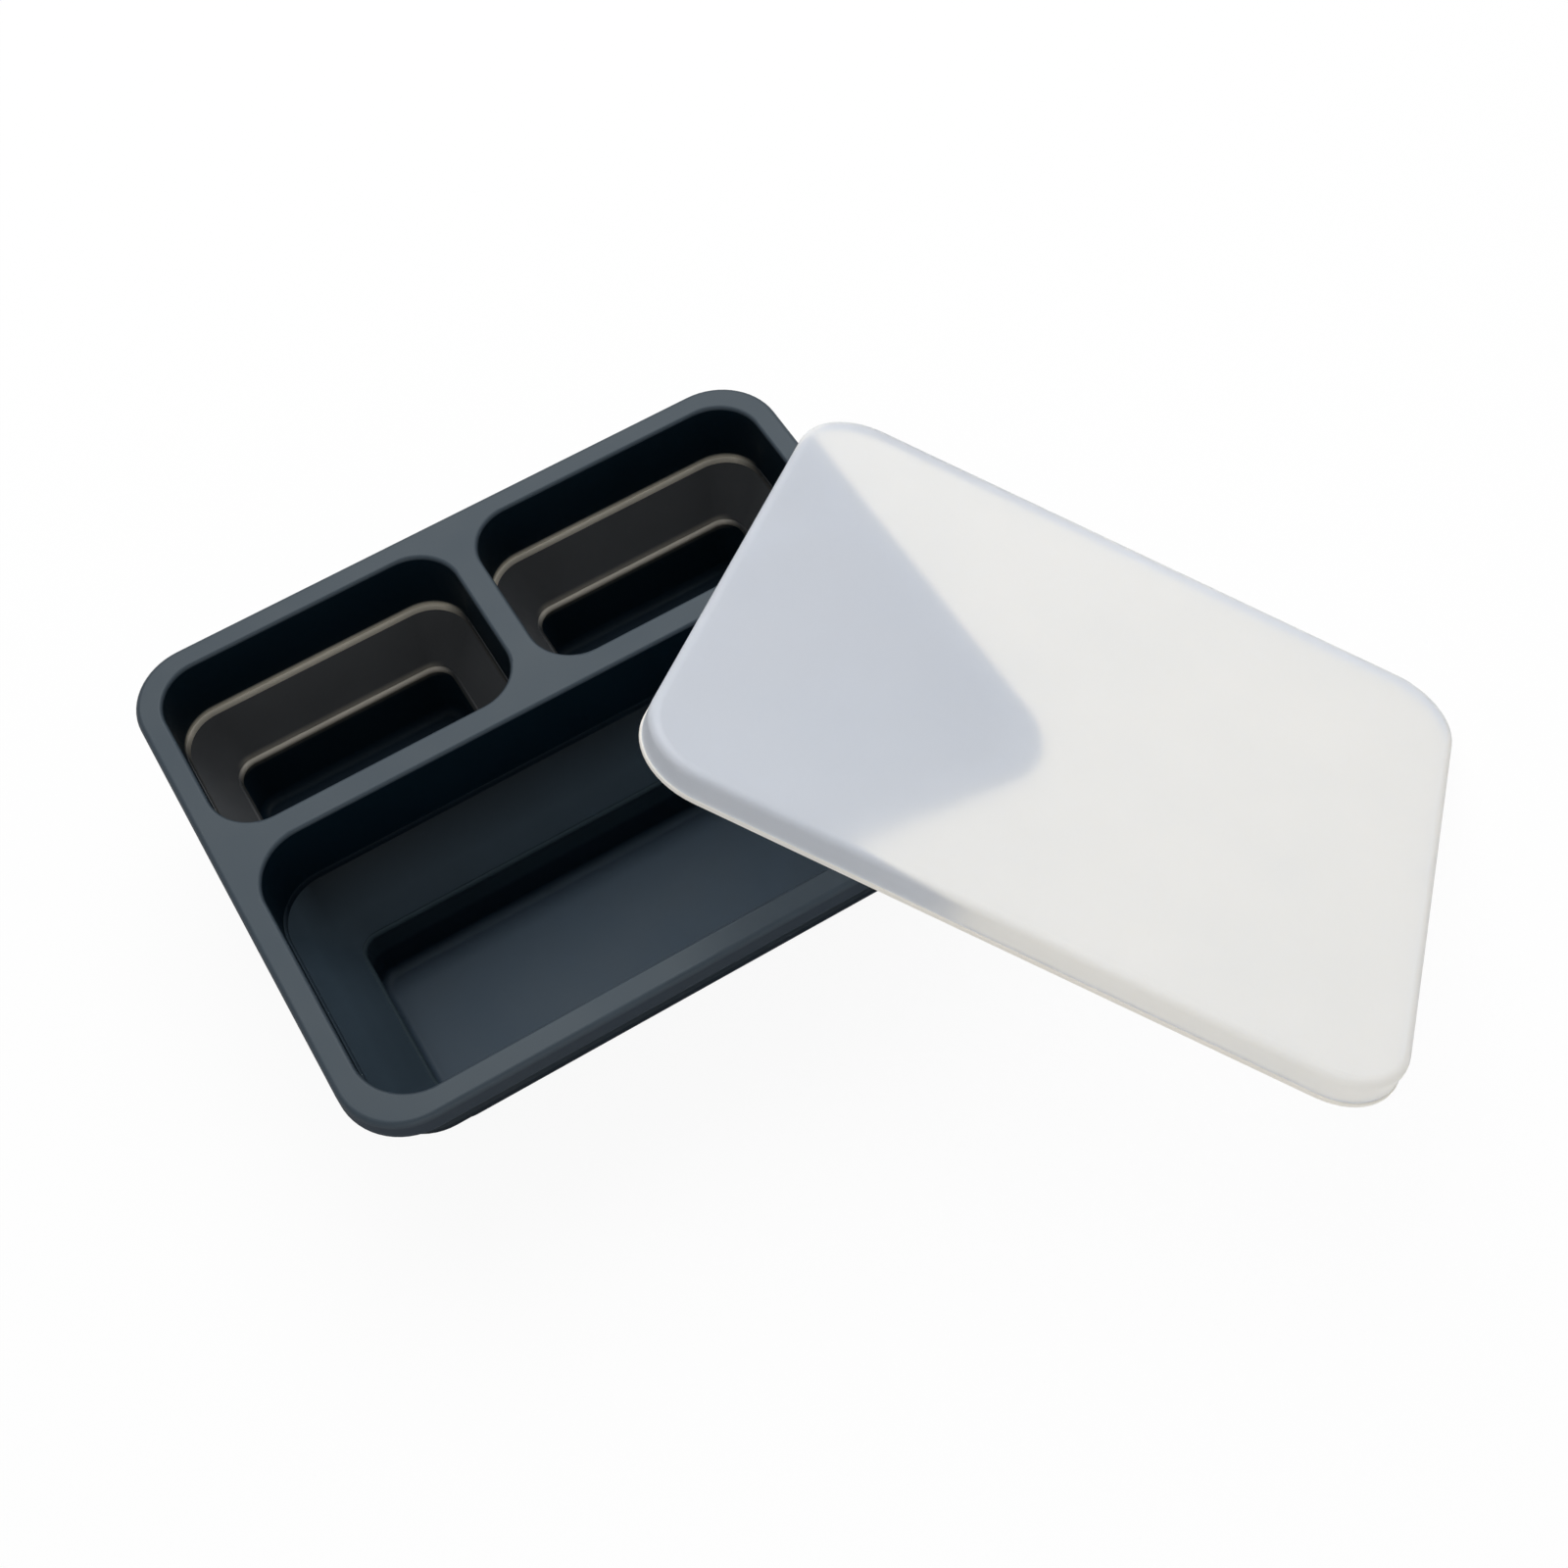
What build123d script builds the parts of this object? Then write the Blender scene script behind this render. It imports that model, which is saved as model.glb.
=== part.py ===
from build123d import *
import os
from collections import namedtuple
from math import asin, atan2, cos, hypot, radians, sin

os.makedirs("parts", exist_ok=True)

# Sizes of the box in millimetres
BOX_HEIGHT = 70.0
RIM_LENGTH = 230.0
RIM_WIDTH = 190.0
RIM_THICKNESS = 9.0
RIM_CORNER_RADIUS = 21.5
RIM_ROUNDING = 1.8

# Flat strips of the rim around the three wells
BACK_STRIP = 8.1
FRONT_STRIP = 8.5
SMALL_SIDE_STRIP = 7.9
LARGE_SIDE_STRIP = 8.5
MIDDLE_STRIP = 9.2
CROSS_STRIP = 9.0

# Wells, two small ones behind one large one
SMALL_WELL_WIDTH = 65.7
SMALL_WELL_RADIUS = 15.5
LARGE_WELL_RADIUS = 18.0
WELL_EDGE_ROUNDING = 1.2

# Stiffening ring sealed inside the rim
CORE_COVER = 2.4
CORE_THICKNESS = 2.6

# Walls of a well, by depth under the rim's top and inset from the well's edge
WALL_THICKNESS = 1.6
UPPER_CREASE_DEPTH = 26.0
UPPER_CREASE_INSET = 0.5
LOWER_CREASE_DEPTH = 45.0
SMALL_CREASE_INSET = 11.2
SMALL_CREASE_RADIUS = 8.0
LARGE_CREASE_INSET = 18.3
LARGE_CREASE_RADIUS = 7.0
CUP_DRAFT = 1.5
FLOOR_THICKNESS = 2.0
FLOOR_ROUNDING = 3.0

# Fold of a well: a thin sloping band between two beads
BAND_THICKNESS = 1.7
BEAD_HEIGHT = 2.0
BEAD_PROUD = 0.9
BEAD_ROUNDING = 0.6
FOLD_CLEARANCE = 0.3

# Lid, a shallow cap with a lip around its open side
LID_CLEARANCE = 0.4
LID_WALL = 1.2
LID_TOP_THICKNESS = 1.5
LID_HEIGHT = 10.0
LID_ROUNDING = 3.0
LIP_HEIGHT = 1.4
LIP_PROUD = 0.5
LIP_ROUNDING = 0.4

# Lean of the lid, which lies over the rim's right side with its lowest corner just off the table
LEAN_TURN = -49.6
LEAN_DOWN_SLOPE = 13.7
LEAN_FORWARD = 86.4
LEAN_CLEARANCE = 0.3

# The origin is the middle of the large well's underside
large_well_length = RIM_LENGTH - 2 * LARGE_SIDE_STRIP
large_well_width = RIM_WIDTH - BACK_STRIP - SMALL_WELL_WIDTH - CROSS_STRIP - FRONT_STRIP
small_well_length = (RIM_LENGTH - MIDDLE_STRIP) / 2 - SMALL_SIDE_STRIP
small_well_x = (MIDDLE_STRIP + small_well_length) / 2
small_well_y = large_well_width / 2 + CROSS_STRIP + SMALL_WELL_WIDTH / 2
rim_y = RIM_WIDTH / 2 - FRONT_STRIP - large_well_width / 2
rim_bottom = BOX_HEIGHT - RIM_THICKNESS

Well = namedtuple("Well", "name x y length width radius crease_inset crease_radius")
SMALL_SIZE = (small_well_length, SMALL_WELL_WIDTH, SMALL_WELL_RADIUS, SMALL_CREASE_INSET, SMALL_CREASE_RADIUS)
LARGE_SIZE = (large_well_length, large_well_width, LARGE_WELL_RADIUS, LARGE_CREASE_INSET, LARGE_CREASE_RADIUS)
WELLS = [
    Well("small_left", -small_well_x, small_well_y, *SMALL_SIZE),
    Well("small_right", small_well_x, small_well_y, *SMALL_SIZE),
    Well("large", 0.0, 0.0, *LARGE_SIZE),
]

# Heights of the two beads, each centred on its crease
upper_crease_z = BOX_HEIGHT - UPPER_CREASE_DEPTH
lower_crease_z = BOX_HEIGHT - LOWER_CREASE_DEPTH
upper_bead_top = upper_crease_z + BEAD_HEIGHT / 2
upper_bead_bottom = upper_crease_z - BEAD_HEIGHT / 2
lower_bead_top = lower_crease_z + BEAD_HEIGHT / 2
lower_bead_bottom = lower_crease_z - BEAD_HEIGHT / 2


def upper_wall(well):
    """Inner face of the upper wall as two (height, inset, radius) stations, the lower one first."""
    crease = (upper_crease_z, UPPER_CREASE_INSET, well.radius - UPPER_CREASE_INSET)
    return crease, (BOX_HEIGHT, 0.0, well.radius)


def fold_wall(well):
    """Inner face of the sloping band, from the lower bead up to the upper bead's edge."""
    inset = UPPER_CREASE_INSET + BEAD_PROUD
    lower_edge = (lower_bead_top, well.crease_inset, well.crease_radius)
    return lower_edge, (upper_bead_bottom, inset, well.radius - inset)


def cup_wall(well):
    """Inner face of the cup, from its floor up to the lower crease."""
    floor = (FLOOR_THICKNESS, well.crease_inset + CUP_DRAFT, well.crease_radius - CUP_DRAFT / 2)
    return floor, (lower_crease_z, well.crease_inset, well.crease_radius)


def well_section(well, height, inset, radius):
    """Rounded rectangle at one height, drawn in from the well's edge by an inset."""
    with BuildSketch(Plane((well.x, well.y, height))) as section:
        RectangleRounded(well.length - 2 * inset, well.width - 2 * inset, radius)
    return section.sketch


def wall_sections(well, stations, bottom, top, outward=0.0):
    """The sections of a sloping wall at two heights, moved outward by a wall's thickness."""
    (low_z, low_inset, low_radius), (high_z, high_inset, high_radius) = stations
    sections = []
    for height in (bottom, top):
        share = (height - low_z) / (high_z - low_z)
        inset = low_inset + (high_inset - low_inset) * share - outward
        radius = low_radius + (high_radius - low_radius) * share + outward
        sections.append(well_section(well, height, inset, radius))
    return sections


def bead_section(well, height, inset, radius):
    """Ring of a bead: as wide as the wall, and proud of its inner face."""
    outer = inset - WALL_THICKNESS
    inner = inset + BEAD_PROUD
    with BuildSketch(Plane((well.x, well.y, height))) as section:
        RectangleRounded(well.length - 2 * outer, well.width - 2 * outer, radius + WALL_THICKNESS)
        RectangleRounded(
            well.length - 2 * inner, well.width - 2 * inner, radius - BEAD_PROUD, mode=Mode.SUBTRACT
        )
    return section.sketch


def flat_faces(shape, axis):
    """Faces square to an axis, in order along it."""
    return shape.faces().filter_by(axis).sort_by(axis)


def inner_edges(faces):
    """Edges around the openings of flat faces."""
    return [edge for face in faces for wire in face.inner_wires() for edge in wire.edges()]


# Rim: a flat frame with three openings, moulded around a stiffening ring
with BuildPart() as rim_core:
    with BuildSketch(Plane((0, rim_y, BOX_HEIGHT - (RIM_THICKNESS + CORE_THICKNESS) / 2))):
        RectangleRounded(
            RIM_LENGTH - 2 * CORE_COVER, RIM_WIDTH - 2 * CORE_COVER, RIM_CORNER_RADIUS - CORE_COVER
        )
        for well in WELLS:
            with Locations((well.x, well.y - rim_y)):
                RectangleRounded(
                    well.length + 2 * CORE_COVER,
                    well.width + 2 * CORE_COVER,
                    well.radius + CORE_COVER,
                    mode=Mode.SUBTRACT,
                )
    extrude(amount=CORE_THICKNESS)
rim_core.part.label = "rim_core"
export_step(rim_core.part, "parts/rim_core.step")

with BuildPart() as rim_frame:
    with BuildSketch(Plane((0, rim_y, rim_bottom))):
        RectangleRounded(RIM_LENGTH, RIM_WIDTH, RIM_CORNER_RADIUS)
    extrude(amount=RIM_THICKNESS)
    fillet(flat_faces(rim_frame, Axis.Z).edges(), RIM_ROUNDING)
    for well in WELLS:
        sections = wall_sections(well, upper_wall(well), rim_bottom, BOX_HEIGHT)
        loft(sections, ruled=True, mode=Mode.SUBTRACT)
    fillet(inner_edges(flat_faces(rim_frame, Axis.Z)[-1:]), WELL_EDGE_ROUNDING)
    add(rim_core.part, mode=Mode.SUBTRACT)
rim_frame.part.label = "rim_frame"
export_step(rim_frame.part, "parts/rim_frame.step")

for well in WELLS:
    # Upper wall, hanging from the rim down to the first crease
    with BuildPart() as wall:
        stations = upper_wall(well)
        loft(wall_sections(well, stations, upper_bead_top, rim_bottom, WALL_THICKNESS), ruled=True)
        loft(wall_sections(well, stations, upper_bead_top, rim_bottom), ruled=True, mode=Mode.SUBTRACT)
    wall.part.label = well.name + "_upper_wall"
    export_step(wall.part, "parts/" + well.name + "_upper_wall.step")

    # Bead along the upper crease
    with BuildPart() as upper_bead:
        crease_inset, crease_radius = upper_wall(well)[0][1:]
        extrude(bead_section(well, upper_bead_bottom, crease_inset, crease_radius), amount=BEAD_HEIGHT)
        fillet(inner_edges(flat_faces(upper_bead, Axis.Z)), BEAD_ROUNDING)
    upper_bead.part.label = well.name + "_upper_bead"
    export_step(upper_bead.part, "parts/" + well.name + "_upper_bead.step")

    # Fold band, which turns inside out as the cup rises
    with BuildPart() as band:
        stations = fold_wall(well)
        bottom = lower_bead_top + FOLD_CLEARANCE
        loft(wall_sections(well, stations, bottom, upper_bead_bottom, BAND_THICKNESS), ruled=True)
        loft(wall_sections(well, stations, bottom, upper_bead_bottom), ruled=True, mode=Mode.SUBTRACT)
    band.part.label = well.name + "_fold_band"
    export_step(band.part, "parts/" + well.name + "_fold_band.step")

    # Bead along the lower crease, on top of the cup
    with BuildPart() as lower_bead:
        crease_inset, crease_radius = cup_wall(well)[1][1:]
        extrude(bead_section(well, lower_bead_bottom, crease_inset, crease_radius), amount=BEAD_HEIGHT)
        fillet(inner_edges(flat_faces(lower_bead, Axis.Z)), BEAD_ROUNDING)
    lower_bead.part.label = well.name + "_lower_bead"
    export_step(lower_bead.part, "parts/" + well.name + "_lower_bead.step")

    # Cup: the lower wall and the floor that the box stands on
    with BuildPart() as cup:
        stations = cup_wall(well)
        loft(wall_sections(well, stations, 0, lower_bead_bottom, WALL_THICKNESS), ruled=True)
        fillet(flat_faces(cup, Axis.Z)[0].edges(), FLOOR_ROUNDING + FLOOR_THICKNESS)
        sections = wall_sections(well, stations, FLOOR_THICKNESS, lower_bead_bottom)
        loft(sections, ruled=True, mode=Mode.SUBTRACT)
        fillet(flat_faces(cup, Axis.Z)[1].edges(), FLOOR_ROUNDING)
    cup.part.label = well.name + "_cup"
    export_step(cup.part, "parts/" + well.name + "_cup.step")

# Lid sizes: it fits over the rim when the box is closed
inner_length = RIM_LENGTH + 2 * LID_CLEARANCE
inner_width = RIM_WIDTH + 2 * LID_CLEARANCE
inner_radius = RIM_CORNER_RADIUS + LID_CLEARANCE
lip_side = LID_WALL + LIP_PROUD
lip_radius = inner_radius + lip_side

# Slope at which the lid rests on the rim's rounded edge and its lowest corner comes to the table
turn = radians(LEAN_TURN)
straight_length = inner_length / 2 - inner_radius
straight_width = inner_width / 2 - inner_radius
reach = straight_length * abs(cos(turn)) + straight_width * abs(sin(turn)) + lip_radius + LEAN_DOWN_SLOPE
stand_off = RIM_ROUNDING + LEAN_CLEARANCE
drop = BOX_HEIGHT - RIM_ROUNDING - LEAN_CLEARANCE
slope = asin(drop / hypot(reach, stand_off)) + atan2(stand_off, reach)
down_slope = Vector(cos(slope), 0, -sin(slope))
lid_up = Vector(sin(slope), 0, cos(slope))
rim_edge = Vector(RIM_LENGTH / 2 - RIM_ROUNDING, rim_y, BOX_HEIGHT - RIM_ROUNDING)
lid_centre = rim_edge + lid_up * stand_off + down_slope * LEAN_DOWN_SLOPE - Vector(0, LEAN_FORWARD, 0)
lid_plane = Plane(lid_centre, x_dir=down_slope * cos(turn) + Vector(0, sin(turn), 0), z_dir=lid_up)
lid_axis = Axis(lid_centre, lid_up)

# Lip around the lid's open side
with BuildPart() as lid_lip:
    with BuildSketch(lid_plane):
        RectangleRounded(inner_length + 2 * lip_side, inner_width + 2 * lip_side, lip_radius)
        RectangleRounded(inner_length, inner_width, inner_radius, mode=Mode.SUBTRACT)
    extrude(amount=LIP_HEIGHT)
    outer_wires = [face.outer_wire() for face in flat_faces(lid_lip, lid_axis)]
    fillet([edge for wire in outer_wires for edge in wire.edges()], LIP_ROUNDING)
lid_lip.part.label = "lid_lip"
export_step(lid_lip.part, "parts/lid_lip.step")

# Cover: the lid's flat top and its skirt
with BuildPart() as lid_cover:
    with BuildSketch(lid_plane.offset(LIP_HEIGHT)):
        RectangleRounded(inner_length + 2 * LID_WALL, inner_width + 2 * LID_WALL, inner_radius + LID_WALL)
    extrude(amount=LID_HEIGHT - LIP_HEIGHT)
    fillet(flat_faces(lid_cover, lid_axis)[-1].edges(), LID_ROUNDING)
    with BuildSketch(lid_plane.offset(LIP_HEIGHT)):
        RectangleRounded(inner_length, inner_width, inner_radius)
    extrude(amount=LID_HEIGHT - LIP_HEIGHT - LID_TOP_THICKNESS, mode=Mode.SUBTRACT)
    fillet(flat_faces(lid_cover, lid_axis)[1].edges(), LID_ROUNDING - LID_WALL)
lid_cover.part.label = "lid_cover"
export_step(lid_cover.part, "parts/lid_cover.step")
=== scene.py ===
from collections import namedtuple
from math import cos, pi, radians, sin

import bpy
from mathutils import Matrix, Vector


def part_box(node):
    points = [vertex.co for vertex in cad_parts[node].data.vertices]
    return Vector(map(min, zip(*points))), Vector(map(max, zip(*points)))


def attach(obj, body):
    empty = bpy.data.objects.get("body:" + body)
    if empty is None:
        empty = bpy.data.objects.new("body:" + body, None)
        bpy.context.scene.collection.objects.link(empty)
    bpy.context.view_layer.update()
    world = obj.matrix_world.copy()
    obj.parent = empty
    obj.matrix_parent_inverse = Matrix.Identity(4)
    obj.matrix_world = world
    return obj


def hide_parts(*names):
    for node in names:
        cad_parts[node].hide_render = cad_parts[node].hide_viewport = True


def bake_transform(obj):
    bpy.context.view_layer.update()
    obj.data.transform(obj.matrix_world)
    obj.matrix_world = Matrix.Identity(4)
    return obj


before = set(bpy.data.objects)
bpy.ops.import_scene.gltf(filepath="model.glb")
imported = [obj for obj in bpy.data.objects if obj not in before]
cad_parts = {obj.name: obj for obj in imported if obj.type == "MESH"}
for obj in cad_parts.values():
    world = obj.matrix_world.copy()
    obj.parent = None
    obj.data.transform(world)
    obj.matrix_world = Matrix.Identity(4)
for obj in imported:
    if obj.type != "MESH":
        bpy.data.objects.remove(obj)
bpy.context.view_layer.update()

# The photograph's camera: its place, its right and view directions, and its lens on a 36 mm sensor
CAMERA_PLACE = Vector((-0.10523, -0.36856, 0.68192))
CAMERA_RIGHT = Vector((0.860, -0.504, -0.079))
CAMERA_VIEW = Vector((0.207, 0.487, -0.849))
CAMERA_SENSOR = 36.0
CAMERA_LENS = 55.16

# Sizes of the wells' walls in metres: heights, and insets from the well's edge
WALL = 0.0016
RIM_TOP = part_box("rim_frame")[1][2]
RIM_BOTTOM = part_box("rim_frame")[0][2]
EDGE_ROUND = 0.0012
UPPER_INSET = 0.0005
CUP_DRAFT = 0.0015
FLOOR_ROUND = 0.003
FLOOR_THICK = 0.002
BAND_THICK = 0.0017
BAND_START = 0.0009
LOWER_BEAD_PROUD = 0.0013
CREASE_GAP = 0.0003
SMALL_RADIUS = 0.0155
SMALL_CREASE_RADIUS = 0.008
LARGE_RADIUS = 0.018
LARGE_CREASE_RADIUS = 0.007
UPPER_BEAD = (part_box("large_upper_bead")[0][2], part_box("large_upper_bead")[1][2])
LOWER_BEAD = (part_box("large_lower_bead")[0][2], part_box("large_lower_bead")[1][2])
UPPER_Z = sum(UPPER_BEAD) / 2
LOWER_Z = sum(LOWER_BEAD) / 2
WALL_DRAFT = UPPER_INSET / (RIM_TOP - UPPER_Z)

# Where a bead is fullest, as a share of its height from its lower edge
UPPER_FULLEST = 0.0
LOWER_FULLEST = 0.3

# How far the lining's front and back stand out from the rim's opening, which it covers thinly
LINING_FRONT = 0.00006
LINING_BACK = LINING_FRONT / 4

CORNER_STEPS = 14
ROUND_STEPS = 8
BEAD_STEPS = 2 * ROUND_STEPS
BAND_STEPS = 3 * ROUND_STEPS
SHARP_DEGREES = 40

Well = namedtuple("Well", "name x y half_length half_width radius crease_inset crease_radius")


def read_well(name, radius, crease_radius):
    """A well's middle and half sizes at its edge, and its lower crease, from its nodes' boxes."""
    low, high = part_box(name + "_upper_wall")
    outward = WALL - WALL_DRAFT * (RIM_TOP - RIM_BOTTOM)
    half_length = (high[0] - low[0]) / 2 - outward
    crease_low, crease_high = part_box(name + "_lower_bead")
    return Well(
        name,
        (low[0] + high[0]) / 2,
        (low[1] + high[1]) / 2,
        half_length,
        (high[1] - low[1]) / 2 - outward,
        radius,
        half_length + WALL - (crease_high[0] - crease_low[0]) / 2,
        crease_radius,
    )


WELLS = [
    read_well("small_left", SMALL_RADIUS, SMALL_CREASE_RADIUS),
    read_well("small_right", SMALL_RADIUS, SMALL_CREASE_RADIUS),
    read_well("large", LARGE_RADIUS, LARGE_CREASE_RADIUS),
]


# Meshes of the wells, as rings of points round rounded rectangles

def mix(a, b, share):
    return a + (b - a) * share


def ring(well, inset, z, radius):
    """Points round a rounded rectangle that is drawn in from the well's edge."""
    reach_x = well.half_length - inset - radius
    reach_y = well.half_width - inset - radius
    points = []
    for corner, (side_x, side_y) in enumerate(((1, 1), (-1, 1), (-1, -1), (1, -1))):
        for step in range(CORNER_STEPS + 1):
            angle = (corner + step / CORNER_STEPS) * pi / 2
            x = well.x + side_x * reach_x + radius * cos(angle)
            y = well.y + side_y * reach_y + radius * sin(angle)
            points.append((x, y, z))
    return points


def skin(name, rings, closed):
    """Quads between rings. A closed skin joins its last ring to its first, an open one caps both ends."""
    count = len(rings[0])
    points = [point for loop in rings for point in loop]
    spans = len(rings) if closed else len(rings) - 1
    faces = []
    for span in range(spans):
        here = span * count
        there = (span + 1) % len(rings) * count
        for k in range(count):
            after = (k + 1) % count
            faces.append((here + k, here + after, there + after, there + k))
    if not closed:
        faces.append(tuple(reversed(range(count))))
        faces.append(tuple(range((len(rings) - 1) * count, len(rings) * count)))
    mesh = bpy.data.meshes.new(name)
    mesh.from_pydata(points, [], faces)
    mesh.validate()
    piece = bpy.data.objects.new(name, mesh)
    bpy.context.scene.collection.objects.link(piece)
    finish_surface(piece)
    return piece


def finish_surface(piece):
    """Outward normals, smooth shading with sharp edges kept, and flat faces that stay flat."""
    bpy.context.view_layer.objects.active = piece
    piece.select_set(True)
    bpy.ops.object.mode_set(mode="EDIT")
    bpy.ops.mesh.select_all(action="SELECT")
    bpy.ops.mesh.normals_make_consistent(inside=False)
    bpy.ops.object.mode_set(mode="OBJECT")
    piece.select_set(False)
    piece.data.shade_smooth()
    piece.data.set_sharp_from_angle(angle=radians(SHARP_DEGREES))
    weighted = piece.modifiers.new("flat_faces", "WEIGHTED_NORMAL")
    weighted.keep_sharp = True


def wall_at(well, z):
    """Inset and corner radius of the upper wall's inner face at a height."""
    inset = WALL_DRAFT * (RIM_TOP - z)
    return inset, well.radius - inset


def cup_at(well, z):
    """Inset and corner radius of the cup's inner face at a height."""
    down = (LOWER_Z - z) / (LOWER_Z - FLOOR_THICK)
    return well.crease_inset + CUP_DRAFT * down, well.crease_radius - CUP_DRAFT / 2 * down


def upper_wall(well):
    """The wall that hangs from the rim down to the upper crease, and lines the rim's opening above that."""
    rings = []
    for z, lining in (
        (UPPER_BEAD[1], 0.0),
        (RIM_BOTTOM - LINING_FRONT, 0.0),
        (RIM_BOTTOM, LINING_FRONT),
        (RIM_TOP - EDGE_ROUND, LINING_FRONT),
        (RIM_TOP - EDGE_ROUND, LINING_BACK),
        (RIM_BOTTOM, LINING_BACK),
    ):
        inset, radius = wall_at(well, z)
        rings.append(ring(well, inset + lining, z, radius - lining))
    for z in (RIM_BOTTOM, UPPER_BEAD[1]):
        inset, radius = wall_at(well, z)
        rings.append(ring(well, inset - WALL, z, radius + WALL))
    return skin(well.name + "_upper_wall_skin", rings, closed=True)


def bead(well, name, heights, inset, radius, proud, fullest_share):
    """A rounded rib along a crease, as wide as the wall and fullest at a share of its height."""
    low, high = heights
    fullest = mix(low, high, fullest_share)
    rings = [ring(well, inset - WALL, low, radius + WALL)]
    for step in range(BEAD_STEPS + 1):
        angle = mix(-pi / 2, pi / 2, step / BEAD_STEPS)
        out = proud * cos(angle)
        reach = high - fullest if angle > 0 else fullest - low
        rings.append(ring(well, inset + out, fullest + reach * sin(angle), radius - out))
    rings.append(ring(well, inset - WALL, high, radius + WALL))
    return skin(well.name + name, rings, closed=True)


def fold_band(well):
    """The sloping band between the creases, with enough rings to turn inside out."""
    top_inset = UPPER_INSET + BAND_START
    top = (top_inset, UPPER_BEAD[0], well.radius - top_inset)
    bottom = (well.crease_inset, LOWER_BEAD[1] + CREASE_GAP, well.crease_radius)
    slope = [[mix(a, b, step / BAND_STEPS) for a, b in zip(top, bottom)] for step in range(BAND_STEPS + 1)]
    rings = [ring(well, inset, z, radius) for inset, z, radius in slope]
    for inset, z, radius in reversed(slope):
        rings.append(ring(well, inset - BAND_THICK, z, radius + BAND_THICK))
    return skin(well.name + "_fold_band_skin", rings, closed=True)


def cup(well):
    """The lower wall and the floor, with rounded corners inside and outside."""
    rings = []
    turns = [step / ROUND_STEPS * pi / 2 for step in range(ROUND_STEPS + 1)]
    for angle in turns:
        out = FLOOR_ROUND * (1 - sin(angle))
        inset, radius = cup_at(well, FLOOR_THICK)
        z = FLOOR_THICK + FLOOR_ROUND * (1 - cos(angle))
        inset = mix(inset, cup_at(well, z)[0], sin(angle)) + out
        rings.append(ring(well, inset, z, radius - out))
    inset, radius = cup_at(well, LOWER_BEAD[0])
    rings.append(ring(well, inset, LOWER_BEAD[0], radius))
    rings.append(ring(well, inset - WALL, LOWER_BEAD[0], radius + WALL))
    outer_round = FLOOR_ROUND + FLOOR_THICK
    for angle in reversed(turns):
        out = outer_round * (1 - sin(angle))
        inset, radius = cup_at(well, 0)
        z = outer_round * (1 - cos(angle))
        inset = mix(inset, cup_at(well, z)[0], sin(angle)) - WALL + out
        rings.append(ring(well, inset, z, radius + WALL - out))
    return skin(well.name + "_cup_skin", rings, closed=False)


# Materials, all procedural, in the pieces' own metres

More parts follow.
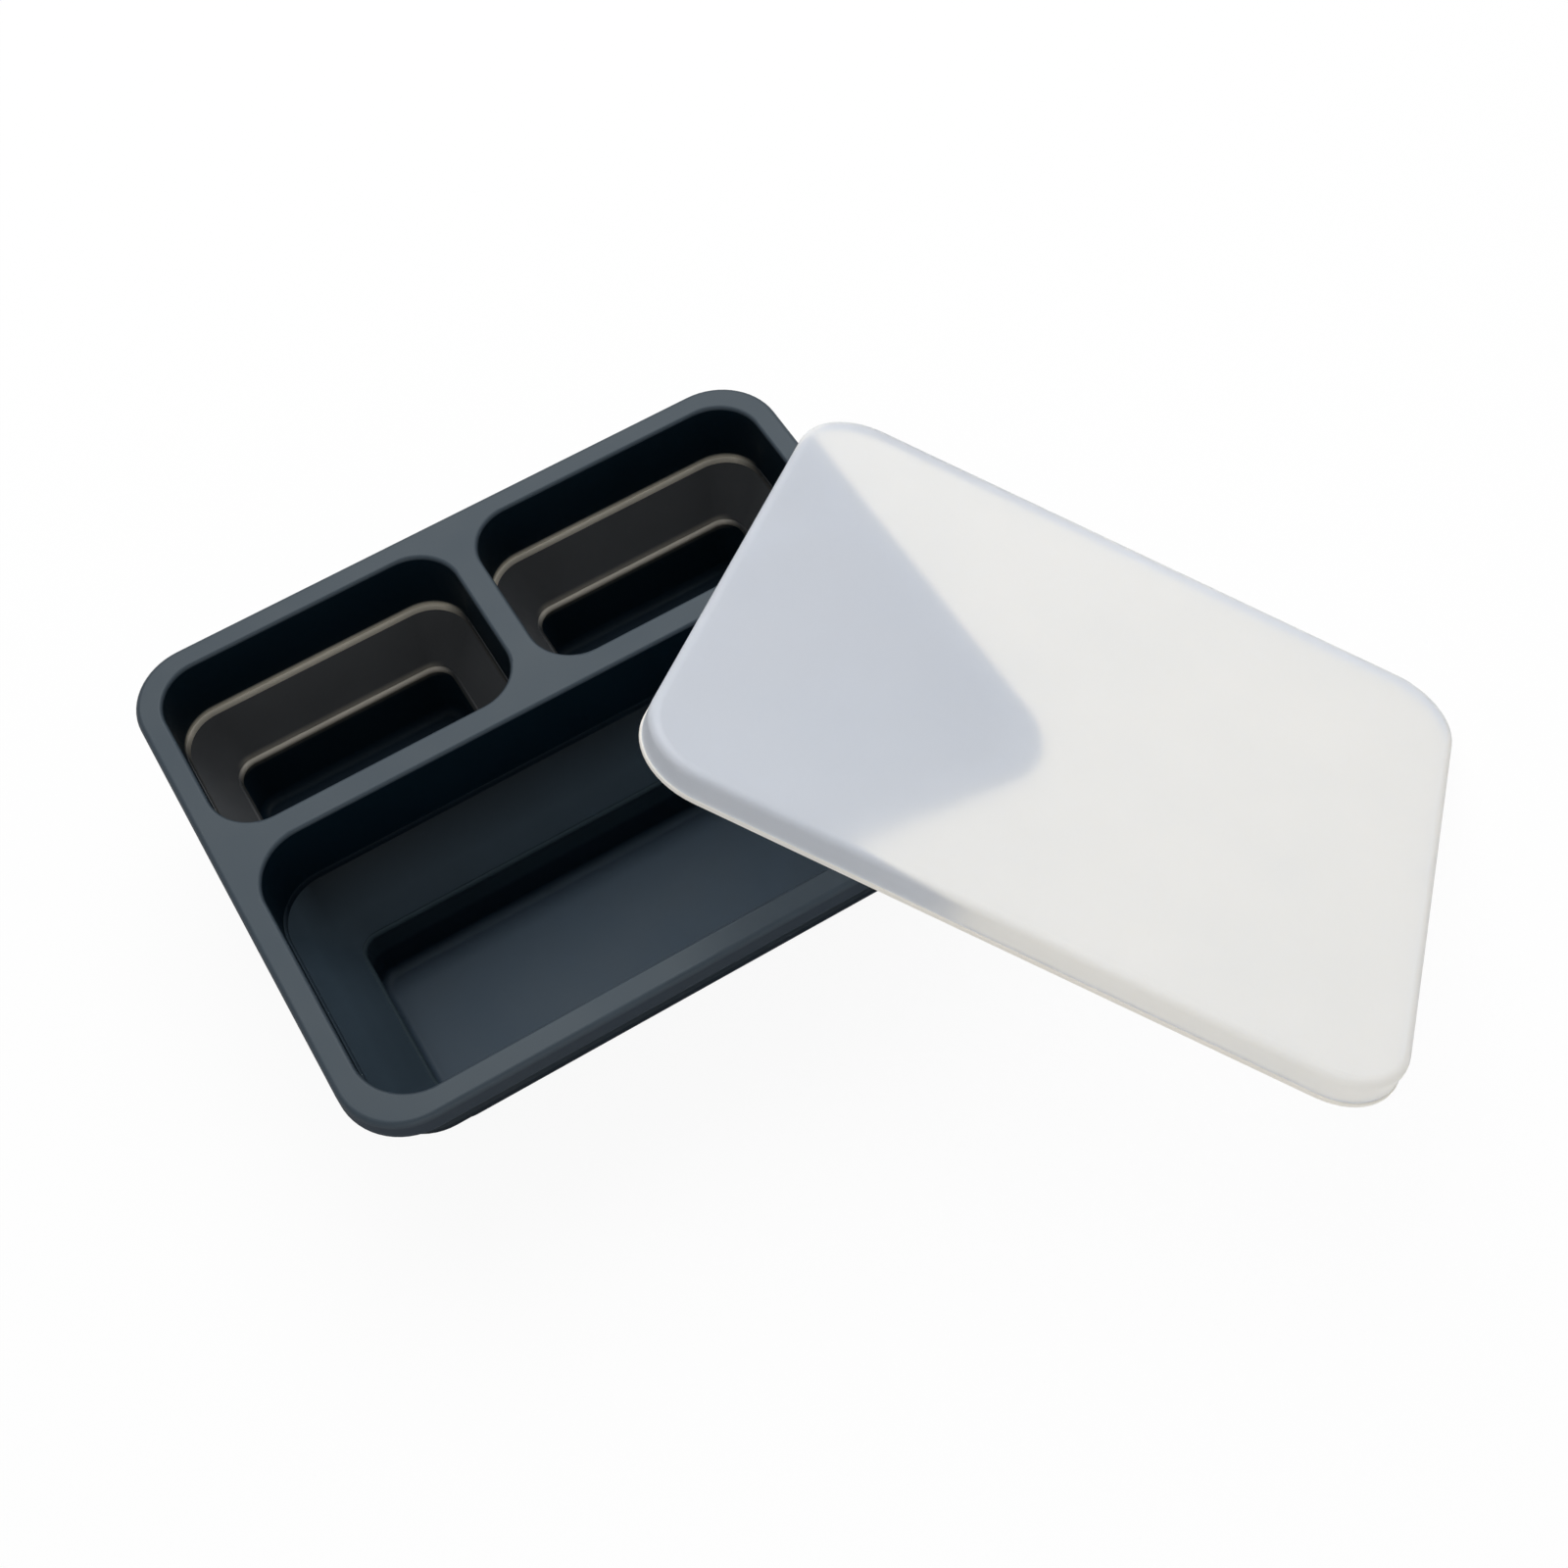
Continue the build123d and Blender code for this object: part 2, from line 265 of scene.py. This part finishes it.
class Surface:
    """A material whose nodes are added one by one to a Principled shader."""

    def __init__(self, name, rough, **fixed):
        self.material = bpy.data.materials.new(name)
        self.material.use_nodes = True
        self.tree = self.material.node_tree
        self.shader = self.tree.nodes["Principled BSDF"]
        self.shader.inputs["Roughness"].default_value = rough
        for socket, value in fixed.items():
            self.shader.inputs[socket.replace("_", " ")].default_value = value
        coordinates = self.add("ShaderNodeTexCoord")
        self.place = coordinates.outputs["Object"]
        self.box_share = coordinates.outputs["Generated"]
        self.normal = None

    def add(self, kind, **settings):
        node = self.tree.nodes.new(kind)
        for name, value in settings.items():
            setattr(node, name, value)
        return node

    def join(self, source, target):
        self.tree.links.new(source, target)

    def feed(self, value, socket):
        """Join a socket to another, or give it a number or a colour."""
        if isinstance(value, bpy.types.NodeSocket):
            self.join(value, socket)
        else:
            socket.default_value = (*value, 1.0) if isinstance(value, tuple) else value

    def math(self, operation, *values):
        """Sum, product or the like of sockets and numbers."""
        node = self.add("ShaderNodeMath", operation=operation)
        for value, socket in zip(values, node.inputs):
            self.feed(value, socket)
        return node.outputs["Value"]

    def noise(self, scale, detail):
        """Soft cloudy noise, with a scale in lumps per metre."""
        node = self.add("ShaderNodeTexNoise")
        node.inputs["Scale"].default_value = scale
        node.inputs["Detail"].default_value = detail
        self.join(self.place, node.inputs["Vector"])
        return node.outputs["Fac"]

    def axis(self, point, name):
        """One coordinate of a point."""
        node = self.add("ShaderNodeSeparateXYZ")
        self.join(point, node.inputs["Vector"])
        return node.outputs[name]

    def height(self):
        """Height of each point in the piece's own metres, for a piece that keeps its shape."""
        return self.axis(self.place, "Z")

    def rise(self):
        """Share of the piece's own height before it bends, from 0 at the bottom to 1 at the top."""
        return self.axis(self.box_share, "Z")

    def ends(self):
        """Nearness to the piece's two ends, from 0 in its middle to 1 at each end."""
        from_middle = self.math("SUBTRACT", self.axis(self.box_share, "X"), 0.5)
        return self.spread(self.math("ABSOLUTE", from_middle), 0.0, 0.5, 0.0, 1.0)

    def spread(self, value, low, high, to_low, to_high):
        """A value moved from one range to another."""
        node = self.add("ShaderNodeMapRange")
        self.join(value, node.inputs["Value"])
        for socket, number in zip(("From Min", "From Max", "To Min", "To Max"), (low, high, to_low, to_high)):
            node.inputs[socket].default_value = number
        return node.outputs["Result"]

    def blend(self, factor, first, second):
        """Mix of two colours, each a colour or a socket, by the Mix node's colour sockets, 6 and 7."""
        node = self.add("ShaderNodeMix", data_type="RGBA")
        self.join(factor, node.inputs["Factor"])
        self.feed(first, node.inputs[6])
        self.feed(second, node.inputs[7])
        return node.outputs[2]

    def colour(self, value):
        self.feed(value, self.shader.inputs["Base Color"])

    def roughness(self, value):
        self.feed(value, self.shader.inputs["Roughness"])

    def bump(self, height, strength, distance):
        """One more layer of bump, over the layers before it."""
        node = self.add("ShaderNodeBump")
        node.inputs["Strength"].default_value = strength
        node.inputs["Distance"].default_value = distance
        self.join(height, node.inputs["Height"])
        if self.normal:
            self.join(self.normal, node.inputs["Normal"])
        self.normal = node.outputs["Normal"]
        self.join(self.normal, self.shader.inputs["Normal"])

    def show(self, factor, first, second):
        """Let the piece show a mix of two shader nodes."""
        mixed = self.add("ShaderNodeMixShader")
        self.join(factor, mixed.inputs["Fac"])
        self.join(first.outputs[0], mixed.inputs[1])
        self.join(second.outputs[0], mixed.inputs[2])
        self.join(mixed.outputs["Shader"], self.tree.nodes["Material Output"].inputs["Surface"])


# A change of a silicone's colour, mostly painted light and shade: how it is measured, where it starts, where
# it is full, and its colour
Zone = namedtuple("Zone", "measure start full colour")

# The same for a change of roughness with height
Dulling = namedtuple("Dulling", "start full rough")

# Clouds and dust specks: where in the noise they start and are full, and what they do to colour and roughness
CLOUD_RANGE = (0.3, 0.7)
CLOUD_SHADES = (0.93, 1.07)
CLOUD_ROUGH = (-0.04, 0.05)
SPECK_RANGE = (0.70, 0.78)
SPECK_SHADE = 1.9
SPECK_STRENGTH = 0.35


def shade(colour, factor):
    return tuple(channel * factor for channel in colour)


def silicone(name, colour, rough=0.5, specular=0.5, tint=(1.0, 1.0, 1.0), zones=(), dulling=None):
    """Satin moulded silicone: faint clouding, a fine mould grain, a few dust specks, and zones of colour that
    are mostly painted light and shade.
    """
    surface = Surface(name, rough, Specular_IOR_Level=specular, Specular_Tint=(*tint, 1.0))
    clouds = surface.noise(scale=38, detail=4)
    specks = surface.spread(surface.noise(scale=2600, detail=2), *SPECK_RANGE, 0.0, SPECK_STRENGTH)
    cloudiness = surface.spread(clouds, *CLOUD_RANGE, 0.0, 1.0)
    base = surface.blend(cloudiness, *(shade(colour, factor) for factor in CLOUD_SHADES))
    for zone in zones:
        clouded = surface.blend(cloudiness, *(shade(zone.colour, factor) for factor in CLOUD_SHADES))
        share = surface.spread(zone.measure(surface), zone.start, zone.full, 0.0, 1.0)
        base = surface.blend(share, base, clouded)
    surface.colour(surface.blend(specks, base, shade(colour, SPECK_SHADE)))
    dullness = surface.spread(clouds, *CLOUD_RANGE, *(rough + change for change in CLOUD_ROUGH))
    if dulling:
        more = surface.spread(surface.height(), dulling.start, dulling.full, 0.0, dulling.rough - rough)
        dullness = surface.math("ADD", dullness, more)
    surface.roughness(dullness)
    surface.bump(surface.noise(scale=60, detail=2), strength=0.25, distance=0.0004)
    surface.bump(surface.noise(scale=1900, detail=3), strength=0.12, distance=0.0001)
    return surface.material


FROST_ROUGH = 0.42
FROST_IOR = 1.35
SHADOW_CLEARNESS = 0.6


def frosted(name, clearness, hazes):
    """Frosted translucent plastic: white haze over rough clear plastic, with a fine frost grain."""
    surface = Surface(name, FROST_ROUGH, Transmission_Weight=clearness, IOR=FROST_IOR)
    haze = surface.noise(scale=24, detail=3)
    surface.colour(surface.blend(surface.spread(haze, *CLOUD_RANGE, 0.0, 1.0), *hazes))
    surface.bump(surface.noise(scale=2400, detail=2), strength=0.15, distance=0.0001)
    path = surface.add("ShaderNodeLightPath")
    share = surface.math("MULTIPLY", path.outputs["Is Shadow Ray"], SHADOW_CLEARNESS)
    surface.show(share, surface.shader, surface.add("ShaderNodeBsdfTransparent"))
    return surface.material


# Colours as linear light
SLATE = (0.035, 0.049, 0.064)
SLATE_GLOSS = (0.88, 0.97, 1.0)
# Painted shade: the rim's sides, darker than its top
SIDE_SHADE_SLATE = (0.014, 0.022, 0.034)
# Painted shade: the upper walls, a far darker copy of the rim's slate
WALL_SHADE_SLATE = (0.0012, 0.0075, 0.014)
# Painted shade: the large cup's wall, a darker copy of the slate
LARGE_CUP_SHADE_SLATE = (0.0045, 0.0125, 0.022)
# Painted light: a lighter strip along the top of the large cup's wall
LARGE_CUP_TOP_LIT_SLATE = (0.018, 0.031, 0.043)
# Painted light: the large cup's floor, lighter than its wall
LARGE_FLOOR_LIT_SLATE = (0.036, 0.056, 0.081)
# Painted shade: the small cups, a darker copy of the slate
SMALL_CUP_SHADE_SLATE = (0.009, 0.022, 0.035)
# Painted shade: the small cups' floors, darker than their walls
SMALL_FLOOR_SHADE_SLATE = (0.006, 0.015, 0.026)
# Painted shade: the large band, a darker copy of the rim's slate
LARGE_BAND_SHADE_SLATE = (0.024, 0.037, 0.050)
# Painted shade: the top of the large band, darker under the upper crease
LARGE_BAND_TOP_SHADE_SLATE = (0.007, 0.012, 0.018)
# Painted light: the large band's ends, lighter than its back
LARGE_BAND_END_LIT_SLATE = shade(LARGE_BAND_SHADE_SLATE, 1.2)
SMALL_BAND_SLATE = (0.059, 0.063, 0.068)
# Painted shade: the large upper bead, nearly black
LARGE_UPPER_BEAD_SHADE_SLATE = (0.004, 0.009, 0.015)
# Painted shade: the large lower bead, a darker copy of the slate
LARGE_LOWER_BEAD_SHADE_SLATE = (0.020, 0.032, 0.041)
TAUPE = (0.66, 0.615, 0.52)
# Painted shade: the lower beads, a darker copy of the taupe
SHADED_TAUPE = (0.47, 0.44, 0.38)
# Painted light: a dim taupe glow beside the lower beads, lifting the shade there
PAINTED_TAUPE_GLOW = (0.26, 0.245, 0.215)
# Painted shade: the small beads' ends, dark where the beads turn sideways
UPPER_BEAD_END_SHADE = (0.010, 0.013, 0.016)
LOWER_BEAD_END_SHADE = (0.014, 0.017, 0.020)
COOL_HAZE = ((0.860, 0.900, 0.968), (0.880, 0.916, 0.980))
WARM_HAZE = ((0.93, 0.91, 0.86), (0.96, 0.94, 0.89))

# Heights at which the rim's top turns to its side, and at which a cup's floor turns to its wall
RIM_TURN = (RIM_TOP - 0.0005, RIM_TOP - 0.0022)
FLOOR_TURN = (FLOOR_THICK + FLOOR_ROUND, FLOOR_THICK)

# Painted shade on the rim's sides, below the turn from its top
RIM_SIDE_SHADE = Zone(Surface.height, *RIM_TURN, SIDE_SHADE_SLATE)
SMALL_WALL_FOOT = Zone(Surface.height, UPPER_BEAD[1] + 0.0020, UPPER_BEAD[1] + 0.0006, TAUPE)
# Painted shade: the taupe foot of the wall taken away at the well's ends
SMALL_WALL_END_SHADE = Zone(Surface.ends, 0.90, 0.96, WALL_SHADE_SLATE)
# Painted light: a taupe glow on the small cup's top, just under the lower bead
SMALL_CUP_TOP_GLOW = Zone(Surface.height, LOWER_BEAD[0] - 0.0030, LOWER_BEAD[0] - 0.0005, PAINTED_TAUPE_GLOW)
# Painted shade: the painted glow taken away at the small cup's ends
SMALL_CUP_END_SHADE = Zone(Surface.ends, 0.82, 0.92, SMALL_CUP_SHADE_SLATE)
# Painted shade: the small cups' floors darker than their walls
SMALL_CUP_SHADED_FLOOR = Zone(Surface.height, *FLOOR_TURN, SMALL_FLOOR_SHADE_SLATE)
# Painted light: the top of the large cup's wall, lighter than the wall below
LARGE_CUP_TOP_LIGHT = Zone(Surface.height, LOWER_BEAD[0] - 0.0105, LOWER_BEAD[0] - 0.0085, LARGE_CUP_TOP_LIT_SLATE)
# Painted light: the large cup's floor lighter than its wall
LARGE_CUP_LIT_FLOOR = Zone(Surface.height, *FLOOR_TURN, LARGE_FLOOR_LIT_SLATE)
# Painted light: a taupe glow on the small band's foot, just over the lower bead
SMALL_BAND_FOOT_GLOW = Zone(Surface.rise, 0.10, 0.0, PAINTED_TAUPE_GLOW)
# Painted shade: the painted glow taken away at the small band's ends
SMALL_BAND_END_SHADE = Zone(Surface.ends, 0.66, 0.74, SMALL_BAND_SLATE)
# Painted shade: the large band darker toward its top, under the upper crease
LARGE_BAND_TOP_SHADE = Zone(Surface.rise, 0.35, 1.0, LARGE_BAND_TOP_SHADE_SLATE)
# Painted light: the large band lighter at its ends
LARGE_BAND_END_LIGHT = Zone(Surface.ends, 0.86, 0.93, LARGE_BAND_END_LIT_SLATE)
# Painted shade: the small upper and lower beads fade to dark at the well's ends
SMALL_UPPER_BEAD_END_SHADE = Zone(Surface.ends, 0.88, 0.96, UPPER_BEAD_END_SHADE)
SMALL_LOWER_BEAD_END_SHADE = Zone(Surface.ends, 0.85, 0.94, LOWER_BEAD_END_SHADE)
# Painted light: the large upper bead's ends lighter, in the band's colour
LARGE_UPPER_BEAD_END_LIGHT = Zone(Surface.ends, 0.94, 0.985, LARGE_BAND_SHADE_SLATE)

rim_silicone = silicone(
    "slate_silicone_rim",
    SLATE,
    rough=0.46,
    specular=0.37,
    tint=SLATE_GLOSS,
    zones=[RIM_SIDE_SHADE],
    dulling=Dulling(*RIM_TURN, rough=0.8),
)
# Painted shade: both walls' silicones take the shaded copy of the slate
large_wall_silicone = silicone("slate_silicone_wall", WALL_SHADE_SLATE, specular=0.16, tint=SLATE_GLOSS)
small_wall_silicone = silicone(
    "slate_silicone_small_wall",
    WALL_SHADE_SLATE,
    specular=0.16,
    tint=SLATE_GLOSS,
    zones=[SMALL_WALL_FOOT, SMALL_WALL_END_SHADE],
)
large_cup_silicone = silicone(
    "slate_silicone_large_cup",
    LARGE_CUP_SHADE_SLATE,
    specular=0.25,
    tint=SLATE_GLOSS,
    zones=[LARGE_CUP_TOP_LIGHT, LARGE_CUP_LIT_FLOOR],
)
small_cup_silicone = silicone(
    "slate_silicone_small_cup",
    SMALL_CUP_SHADE_SLATE,
    specular=0.16,
    tint=SLATE_GLOSS,
    zones=[SMALL_CUP_TOP_GLOW, SMALL_CUP_END_SHADE, SMALL_CUP_SHADED_FLOOR],
)
large_band_silicone = silicone(
    "slate_silicone_large_band",
    LARGE_BAND_SHADE_SLATE,
    rough=0.45,
    specular=0.14,
    tint=SLATE_GLOSS,
    zones=[LARGE_BAND_TOP_SHADE, LARGE_BAND_END_LIGHT],
)
small_band_silicone = silicone(
    "slate_silicone_small_band",
    SMALL_BAND_SLATE,
    specular=0.3,
    zones=[SMALL_BAND_FOOT_GLOW, SMALL_BAND_END_SHADE],
)
large_upper_bead_silicone = silicone(
    "slate_silicone_large_upper_bead",
    LARGE_UPPER_BEAD_SHADE_SLATE,
    rough=0.6,
    specular=0.1,
    tint=SLATE_GLOSS,
    zones=[LARGE_UPPER_BEAD_END_LIGHT],
)
large_lower_bead_silicone = silicone(
    "slate_silicone_large_lower_bead",
    LARGE_LOWER_BEAD_SHADE_SLATE,
    rough=0.6,
    specular=0.1,
    tint=SLATE_GLOSS,
)
upper_taupe_silicone = silicone("taupe_silicone_upper_bead", TAUPE, zones=[SMALL_UPPER_BEAD_END_SHADE])
lower_taupe_silicone = silicone("taupe_silicone_lower_bead", SHADED_TAUPE, zones=[SMALL_LOWER_BEAD_END_SHADE])
lid_plastic = frosted("frosted_plastic", clearness=0.56, hazes=COOL_HAZE)
lip_plastic = frosted("frosted_plastic_lip", clearness=0.25, hazes=WARM_HAZE)


# Dressing of the nodes

def dress(piece, body, node, material):
    """Material, body, node and slot of a new piece."""
    piece.data.materials.append(material)
    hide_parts(node)
    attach(piece, body)


def dress_well(well):
    """The five pieces of one well."""
    cup_body = well.name + "_cup_body"
    small = well.name != "large"
    wall_material = small_wall_silicone if small else large_wall_silicone
    band_material = small_band_silicone if small else large_band_silicone
    upper_material = upper_taupe_silicone if small else large_upper_bead_silicone
    lower_material = lower_taupe_silicone if small else large_lower_bead_silicone
    cup_material = small_cup_silicone if small else large_cup_silicone
    dress(upper_wall(well), "rim", well.name + "_upper_wall", wall_material)
    upper_place = wall_at(well, UPPER_Z)
    upper = bead(well, "_upper_bead_skin", UPPER_BEAD, *upper_place, BAND_START, UPPER_FULLEST)
    dress(upper, "rim", well.name + "_upper_bead", upper_material)
    lower_place = (well.crease_inset, well.crease_radius)
    lower = bead(well, "_lower_bead_skin", LOWER_BEAD, *lower_place, LOWER_BEAD_PROUD, LOWER_FULLEST)
    dress(lower, cup_body, well.name + "_lower_bead", lower_material)
    dress(cup(well), cup_body, well.name + "_cup", cup_material)
    band = fold_band(well)
    band.data.materials.append(band_material)
    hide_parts(well.name + "_fold_band")
    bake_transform(band)


def set_material(node, material):
    node.data.materials.clear()
    node.data.materials.append(material)


for well in WELLS:
    dress_well(well)
set_material(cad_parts["rim_frame"], rim_silicone)
set_material(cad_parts["rim_core"], rim_silicone)
set_material(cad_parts["lid_cover"], lid_plastic)
set_material(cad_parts["lid_lip"], lip_plastic)


# Camera, lights and floor

AMBIENT = 0.40
FLOOR_HALF = 3.0
FLOOR_ROUGH = 0.9
PAPER = (0.95, 0.95, 0.95)

# The white that the camera sees, and the warmer light that comes through the lid from the floor
SHOWN_WHITE = 0.93
THROUGH_LID = 0.92
THROUGH_LID_TINT = (1.0, 0.83, 0.53)


def make_camera():
    """Camera at the photograph's place, a little rolled."""
    view = CAMERA_VIEW.normalized()
    right = (CAMERA_RIGHT - view * CAMERA_RIGHT.dot(view)).normalized()
    up = right.cross(view)
    data = bpy.data.cameras.new("camera")
    data.sensor_width = CAMERA_SENSOR
    data.lens = CAMERA_LENS
    camera = bpy.data.objects.new("camera", data)
    turn = Matrix((right, up, -view)).transposed().to_4x4()
    camera.matrix_world = Matrix.Translation(CAMERA_PLACE) @ turn
    bpy.context.scene.collection.objects.link(camera)
    bpy.context.scene.camera = camera


def area_light(name, place, target, size, radiance):
    """A square softbox with an even radiance."""
    data = bpy.data.lights.new(name, "AREA")
    data.size = size
    data.energy = radiance * pi * size * size
    light = bpy.data.objects.new(name, data)
    light.location = place
    light.rotation_euler = (Vector(target) - Vector(place)).to_track_quat("-Z", "Y").to_euler()
    bpy.context.scene.collection.objects.link(light)


def make_world():
    """Even light from all round, behind which the camera sees the same white as the floor."""
    world = bpy.data.worlds.new("studio")
    world.use_nodes = True
    nodes = world.node_tree.nodes
    links = world.node_tree.links
    background = nodes["Background"]
    background.inputs["Color"].default_value = (AMBIENT, AMBIENT, AMBIENT, 1)
    backdrop = nodes.new("ShaderNodeBackground")
    backdrop.inputs["Color"].default_value = (SHOWN_WHITE, SHOWN_WHITE, SHOWN_WHITE, 1)
    path = nodes.new("ShaderNodeLightPath")
    mixed = nodes.new("ShaderNodeMixShader")
    links.new(path.outputs["Is Camera Ray"], mixed.inputs["Fac"])
    links.new(background.outputs["Background"], mixed.inputs[1])
    links.new(backdrop.outputs["Background"], mixed.inputs[2])
    links.new(mixed.outputs["Shader"], nodes["World Output"].inputs["Surface"])
    bpy.context.scene.world = world


def make_floor():
    """A wide sheet of white paper under the object, white to the camera wherever it isn't shaded."""
    corners = [(x * FLOOR_HALF, y * FLOOR_HALF, 0) for x, y in ((-1, -1), (1, -1), (1, 1), (-1, 1))]
    mesh = bpy.data.meshes.new("floor")
    mesh.from_pydata(corners, [], [(0, 1, 2, 3)])
    floor = bpy.data.objects.new("floor", mesh)
    bpy.context.scene.collection.objects.link(floor)
    paper = Surface("white_paper", FLOOR_ROUGH)
    paper.colour(PAPER)
    path = paper.add("ShaderNodeLightPath")
    direct = paper.math("MULTIPLY", path.outputs["Is Camera Ray"], SHOWN_WHITE)
    through = paper.math("MULTIPLY", path.outputs["Is Transmission Ray"], THROUGH_LID)
    tint = paper.blend(path.outputs["Is Transmission Ray"], (1.0, 1.0, 1.0), THROUGH_LID_TINT)
    glow = paper.add("ShaderNodeEmission")
    paper.feed(tint, glow.inputs["Color"])
    paper.show(paper.math("MAXIMUM", direct, through), paper.shader, glow)
    floor.data.materials.append(paper.material)


make_camera()
make_world()
make_floor()
area_light("softbox", place=(0.35, 0.75, 1.35), target=(0.05, 0.05, 0.0), size=1.5, radiance=2.76)
area_light("front_fill", place=(-0.35, -1.20, 0.40), target=(0.10, -0.10, 0.05), size=0.8, radiance=1.4)
bpy.context.scene.view_settings.view_transform = "Standard"
